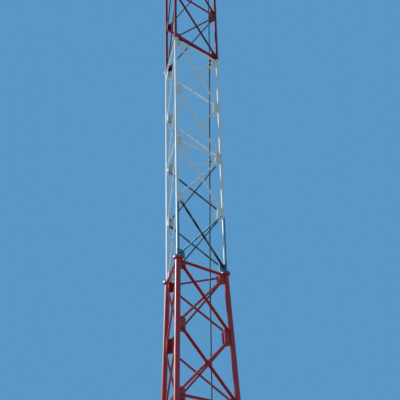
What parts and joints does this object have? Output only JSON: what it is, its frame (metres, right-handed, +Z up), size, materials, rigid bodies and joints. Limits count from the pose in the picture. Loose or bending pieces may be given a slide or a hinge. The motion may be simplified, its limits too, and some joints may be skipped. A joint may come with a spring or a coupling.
{
  "type": "three-legged lattice radio mast",
  "caption": "Red and white three-legged lattice mast with tubular flanged legs, gusset plates, crossed angle bracing and a feeder cable.",
  "frame": {"origin": "centre of the underside of the front foot's plate", "axes": "+Z up along the mast, -Y from the mast's centre line out through the front leg, +X towards the right leg"},
  "size_m": [2.2872, 1.9807, 17.75],
  "materials": {
    "red_paint": "weathered signal red paint on galvanised steel, satin, chalky where the sun strikes",
    "white_paint": "weathered white paint with some bars still in dark old primer, satin",
    "cable_jacket": "black-brown weathered polyethylene jacket",
    "galvanised_steel": "dull hot-dip galvanised"
  },
  "bodies": {
    "root": {"foot_front": "red_paint", "foot_right": "red_paint", "foot_left": "red_paint", "leg_front_base": "red_paint", "leg_right_base": "red_paint", "leg_left_base": "red_paint", "leg_front_lower": "red_paint", "leg_right_lower": "red_paint", "leg_left_lower": "red_paint", "leg_front_white": "white_paint", "leg_right_white": "white_paint", "leg_left_white": "white_paint", "leg_front_upper": "red_paint", "leg_right_upper": "red_paint", "leg_left_upper": "red_paint", "brace_right_base": "red_paint", "brace_back_base": "red_paint", "brace_left_base": "red_paint", "brace_right_lower": "red_paint", "brace_back_lower": "red_paint", "brace_left_lower": "red_paint", "brace_right_white": "white_paint", "brace_back_white": "white_paint", "brace_left_white": "white_paint", "brace_right_upper": "red_paint", "brace_back_upper": "red_paint", "brace_left_upper": "red_paint", "feeder_cable": "cable_jacket", "cable_hangers": "galvanised_steel", "feeder_connectors": "galvanised_steel"}
  },
  "joints": []
}
